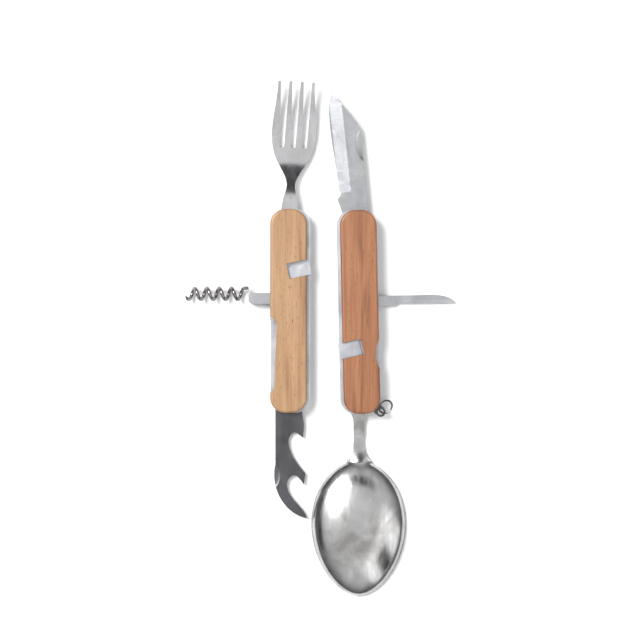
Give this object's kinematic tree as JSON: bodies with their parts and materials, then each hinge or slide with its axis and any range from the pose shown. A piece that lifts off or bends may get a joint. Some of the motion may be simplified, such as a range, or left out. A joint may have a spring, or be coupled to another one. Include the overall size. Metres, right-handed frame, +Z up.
{
  "type": "picnic cutlery",
  "caption": "Folding picnic cutlery in two wood-handled halves laid side by side, open: fork, opener and corkscrew; knife, spoon, small blade and key ring.",
  "frame": {"origin": "middle of the footprint at table height, with both halves laid open side by side", "axes": "+Y along the handles towards the fork, +X from the fork half to the knife half, +Z up from the table"},
  "size_m": [0.1348, 0.2568, 0.0106],
  "materials": {
    "pale_wood": "satin",
    "red_wood": "satin",
    "plate_steel": "satin",
    "blade_steel": "brushed",
    "polished_steel": "polished",
    "dark_steel": "satin",
    "brass": "satin"
  },
  "bodies": {
    "fork_handle": {"fork_side_scale": "pale_wood", "fork_side_outer_liner": "plate_steel", "fork_side_mid_liner": "plate_steel", "fork_side_inner_plate": "plate_steel", "fork_spring": "dark_steel", "opener_spring": "dark_steel", "fork_pin": "plate_steel", "opener_pin": "plate_steel", "corkscrew_pin": "plate_steel", "fork_washers": "brass", "opener_washers": "brass", "fork_side_rivets": "plate_steel", "fork_side_catch": "plate_steel"},
    "fork": {"fork": "polished_steel"},
    "opener": {"opener": "dark_steel"},
    "corkscrew": {"corkscrew_shank": "blade_steel", "corkscrew_wire": "dark_steel"},
    "knife_handle": {"knife_side_scale": "red_wood", "knife_side_outer_liner": "plate_steel", "knife_side_mid_liner": "plate_steel", "knife_side_inner_plate": "plate_steel", "knife_spring": "dark_steel", "spoon_spring": "dark_steel", "knife_pin": "plate_steel", "spoon_pin": "plate_steel", "small_blade_pin": "plate_steel", "knife_washers": "brass", "spoon_washers": "brass", "small_blade_washers": "brass", "knife_side_rivets": "plate_steel", "knife_side_catch": "plate_steel", "key_lug": "dark_steel", "key_lug_rivet": "plate_steel"},
    "knife": {"knife": "blade_steel"},
    "small_blade": {"small_blade": "blade_steel"},
    "spoon": {"spoon": "polished_steel"},
    "key_ring": {"key_ring": "dark_steel"}
  },
  "joints": [
    {"name": "fork_fold", "type": "hinge", "parent": "fork_handle", "child": "fork", "pos_m": [-0.0161, 0.0575, 0], "axis": [0, 0, 1], "range_deg": [0, 100]},
    {"name": "opener_fold", "type": "hinge", "parent": "fork_handle", "child": "opener", "pos_m": [-0.0161, -0.0295, 0], "axis": [0, 0, 1], "range_deg": [-105, 0]},
    {"name": "corkscrew_fold", "type": "hinge", "parent": "fork_handle", "child": "corkscrew", "pos_m": [-0.0227, 0.02, 0], "axis": [0, 0, 1], "range_deg": [0, 90]},
    {"name": "halves_apart", "type": "slide", "parent": "fork_handle", "child": "knife_handle", "axis": [1, 0, 0], "range_m": [0, 0.15]},
    {"name": "knife_fold", "type": "hinge", "parent": "knife_handle", "child": "knife", "pos_m": [0.01845, 0.05699, 0], "axis": [0, 0, 1], "range_deg": [-185.5, 0]},
    {"name": "small_blade_fold", "type": "hinge", "parent": "knife_handle", "child": "small_blade", "pos_m": [0.02527, 0.01963, 0], "axis": [0, 0, 1], "range_deg": [-88, 0]},
    {"name": "spoon_fold", "type": "hinge", "parent": "knife_handle", "child": "spoon", "pos_m": [0.02035, -0.02999, 0], "axis": [0, 0, 1], "range_deg": [0, 105]},
    {"name": "key_ring_swing", "type": "hinge", "parent": "knife_handle", "child": "key_ring", "pos_m": [0.02969, -0.03619, 0], "axis": [0, 0, 1], "range_deg": [-60, 0]}
  ]
}
